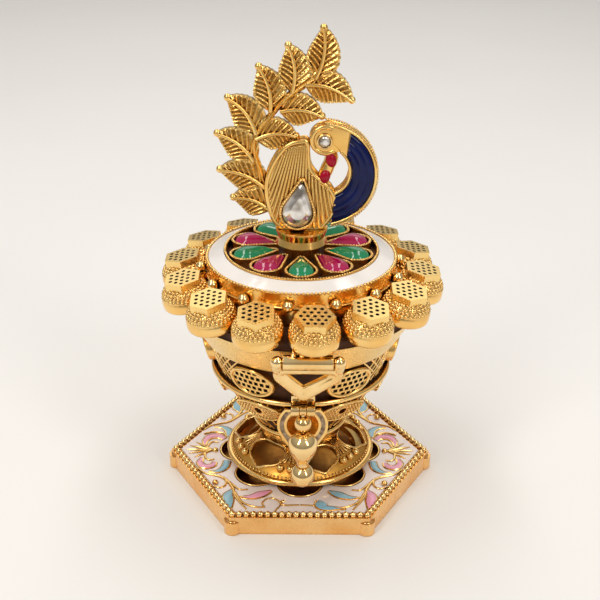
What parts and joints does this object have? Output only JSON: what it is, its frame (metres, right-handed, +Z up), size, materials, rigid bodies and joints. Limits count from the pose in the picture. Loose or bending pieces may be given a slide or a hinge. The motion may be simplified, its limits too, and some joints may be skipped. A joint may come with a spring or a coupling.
{
  "type": "kumkum box",
  "caption": "A footed gold-plated kumkum box with an enamelled six-sided base, a filigree bowl with a hasp and bead drop, and a jewelled hinged lid with a peacock finial.",
  "frame": {"origin": "middle of the base's flat underside", "axes": "+Z up along the finial, +X to the viewer's right, -Y towards the viewer, the hasp's side"},
  "size_m": [0.0548, 0.0548, 0.0926],
  "materials": {
    "antique_gold": "gold plate with darkened hollows",
    "polished_gold": "polished gold plate",
    "satin_gold": "satin gold plate",
    "steel": "plain steel",
    "white_enamel": "glossy enamel",
    "base_enamel": "glossy pearl enamel",
    "pink_enamel": "glossy enamel",
    "blue_enamel": "glossy enamel",
    "navy_enamel": "glossy enamel",
    "red_enamel": "glossy enamel",
    "green_glass": "polished cabochon",
    "magenta_glass": "polished cabochon",
    "crystal": "faceted clear crystal",
    "grey_inlay": "matte grey inlay"
  },
  "bodies": {
    "root": {"base_tray": "antique_gold", "base_bead_wire": "antique_gold", "base_enamel_field": "base_enamel", "base_enamel_pink": "pink_enamel", "base_enamel_blue": "blue_enamel", "base_gold_scrolls": "antique_gold", "foot_rim": "antique_gold", "foot_dome": "antique_gold", "neck_drum": "antique_gold", "pedestal_tube": "antique_gold", "pedestal_screw": "steel", "pedestal_nut": "steel", "bowl_cup": "antique_gold", "bowl_rim_band": "satin_gold", "bowl_mid_ring": "antique_gold", "bowl_low_ring": "antique_gold", "bowl_oval_plaques": "antique_gold", "bowl_eye_plaques": "antique_gold", "bowl_hinge": "antique_gold", "hinge_pin": "antique_gold", "clasp_catch": "polished_gold", "catch_pivot": "polished_gold", "drop_plate": "antique_gold", "drop_plate_inlay": "grey_inlay"},
    "lid": {"lid_plate": "antique_gold", "lid_hinge": "antique_gold", "lid_caps": "antique_gold", "lid_beads": "polished_gold", "lid_drum": "antique_gold", "lid_enamel_ring": "white_enamel", "jewel_floor": "antique_gold", "jewel_bezels": "antique_gold", "green_stones": "green_glass", "magenta_stones": "magenta_glass", "finial_collar": "antique_gold", "finial_stud": "steel", "finial_nut": "steel", "peacock_casting": "antique_gold", "neck_enamel": "navy_enamel", "wattle_enamel": "red_enamel", "body_bezel": "antique_gold", "body_stone": "crystal", "eye_bezel": "antique_gold", "eye_stone": "crystal", "clasp_tube": "polished_gold"},
    "clasp": {"clasp_pivot": "polished_gold", "clasp_frame": "polished_gold"},
    "drop": {"drop_pin": "polished_gold", "drop_bead_top": "polished_gold", "drop_bead_pear": "polished_gold", "drop_collar": "polished_gold", "drop_bead_ball": "polished_gold"}
  },
  "joints": [
    {"name": "lid_hinge", "type": "hinge", "parent": "root", "child": "lid", "pos_m": [0, 0.0249, 0.0395], "axis": [-1, 0, 0], "range_deg": [0, 105]},
    {"name": "clasp_swing", "type": "hinge", "parent": "lid", "child": "clasp", "pos_m": [0.0013, -0.0247, 0.0386], "axis": [-1, 0, 0], "range_deg": [0, 100]},
    {"name": "drop_swing", "type": "hinge", "parent": "root", "child": "drop", "pos_m": [0.0005, -0.02122, 0.0266], "axis": [-1, 0, 0], "range_deg": [-2, 70]}
  ]
}
